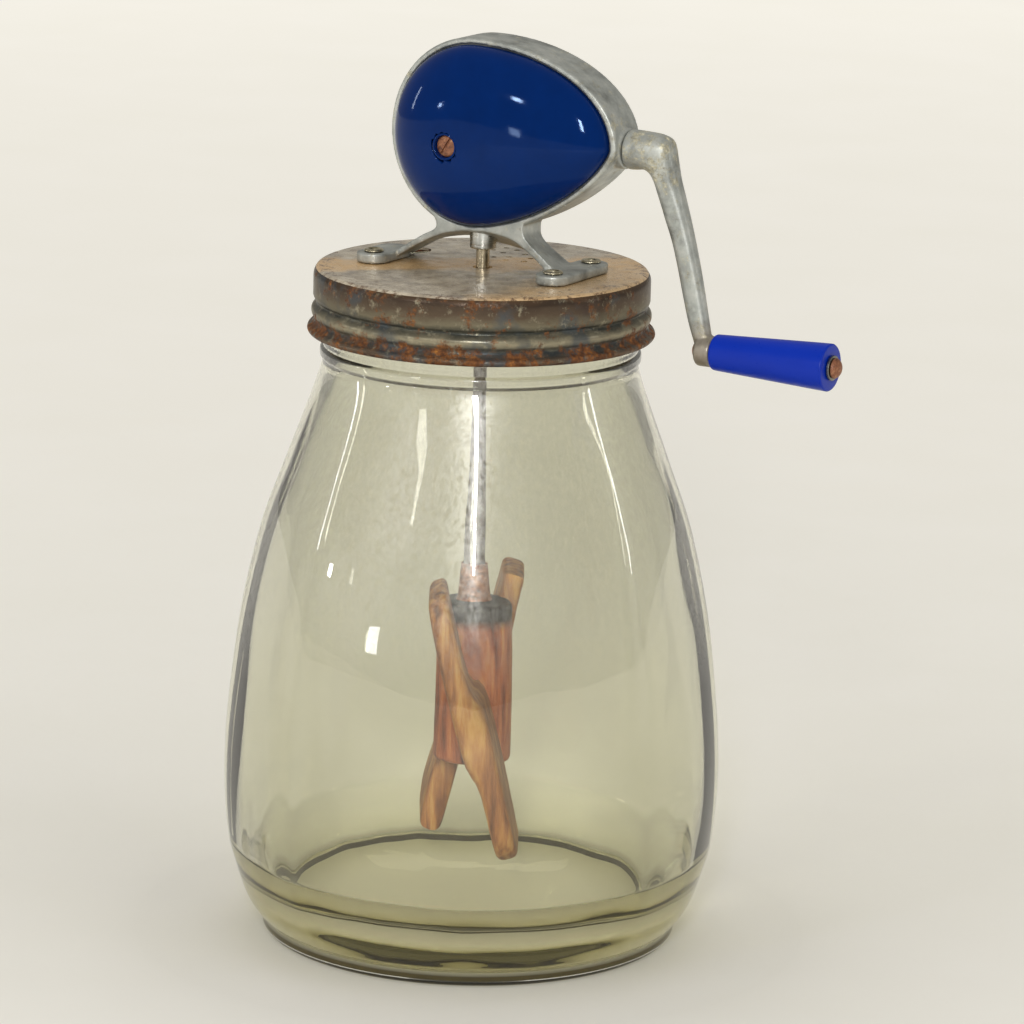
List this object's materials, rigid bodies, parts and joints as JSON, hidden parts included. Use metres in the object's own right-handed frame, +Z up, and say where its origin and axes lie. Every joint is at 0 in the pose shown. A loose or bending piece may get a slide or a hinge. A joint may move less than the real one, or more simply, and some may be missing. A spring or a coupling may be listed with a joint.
{
  "type": "butter churn",
  "caption": "Hand-cranked glass butter churn: panelled jar, screw lid, egg-shaped geared head with domed covers, side crank and slanted wooden paddles.",
  "frame": {"origin": "centre of the flat underside of the jar's foot", "axes": "+Z up along the jar and spindle; +X along the crank shaft towards the crank; -Y faces the front cover"},
  "size_m": [0.2278, 0.174, 0.322],
  "materials": {
    "pressed_glass": "clear pressed glass with a faint green-yellow tint",
    "seal_rubber": "matt red-brown rubber",
    "tinplate": "worn tinplate, rust stained",
    "cast_alloy": "dull die-cast alloy",
    "rivet_brass": "worn brass",
    "gear_brass": "greased brass",
    "blue_enamel": "glossy deep blue enamel",
    "rusty_steel": "rusted steel",
    "bright_steel": "turned steel",
    "plain_steel": "plain steel",
    "blue_plastic": "bright blue moulded plastic",
    "beech_wood": "oiled beech, red-brown"
  },
  "bodies": {
    "jar": {"glass_jar": "pressed_glass"},
    "seal": {"lid_seal_ring": "seal_rubber"},
    "lid": {"lid_cap": "tinplate", "gear_frame": "cast_alloy", "foot_rivet_left_front": "rivet_brass", "foot_rivet_right_front": "rivet_brass", "foot_rivet_right_rear": "rivet_brass", "front_cover": "blue_enamel", "rear_cover": "blue_enamel", "front_cover_screw": "rusty_steel", "rear_cover_screw": "rusty_steel", "spindle_bush": "bright_steel", "crank_bush": "rivet_brass"},
    "crank": {"crank_shaft": "bright_steel", "crank_arm": "cast_alloy", "drive_gear": "plain_steel", "drive_gear_pin": "plain_steel", "handle_pin": "rusty_steel", "handle_washer": "plain_steel"},
    "grip": {"handle_grip": "blue_plastic"},
    "spindle": {"spindle_shaft": "bright_steel", "thrust_washer": "rivet_brass", "pinion_gear": "gear_brass", "pinion_pin": "plain_steel", "beater_ferrule": "plain_steel", "beater_hub": "beech_wood", "hub_pin": "plain_steel", "beater_blade_front": "beech_wood", "beater_blade_rear": "beech_wood"}
  },
  "joints": [
    {"name": "lid_lift", "type": "slide", "parent": "jar", "child": "seal", "axis": [0, 0, 1], "range_m": [0, 0.26]},
    {"name": "lid_turn", "type": "hinge", "parent": "seal", "child": "lid", "pos_m": [0, 0, 0.2404], "axis": [0, 0, 1], "range_deg": [0, 420]},
    {"name": "crank_turn", "type": "hinge", "parent": "lid", "child": "crank", "pos_m": [0.0574, 0, 0.288], "axis": [1, 0, 0], "continuous": true},
    {"name": "grip_spin", "type": "hinge", "parent": "crank", "child": "grip", "pos_m": [0.09, 0, 0.2213], "axis": [1, 0, 0], "continuous": true},
    {"name": "spindle_turn", "type": "hinge", "parent": "lid", "child": "spindle", "pos_m": [0, 0, 0.2404], "axis": [0, 0, 1], "continuous": true}
  ],
  "couplings": [
    {"joint": "spindle_turn", "follows": "crank_turn", "ratio": 2}
  ]
}
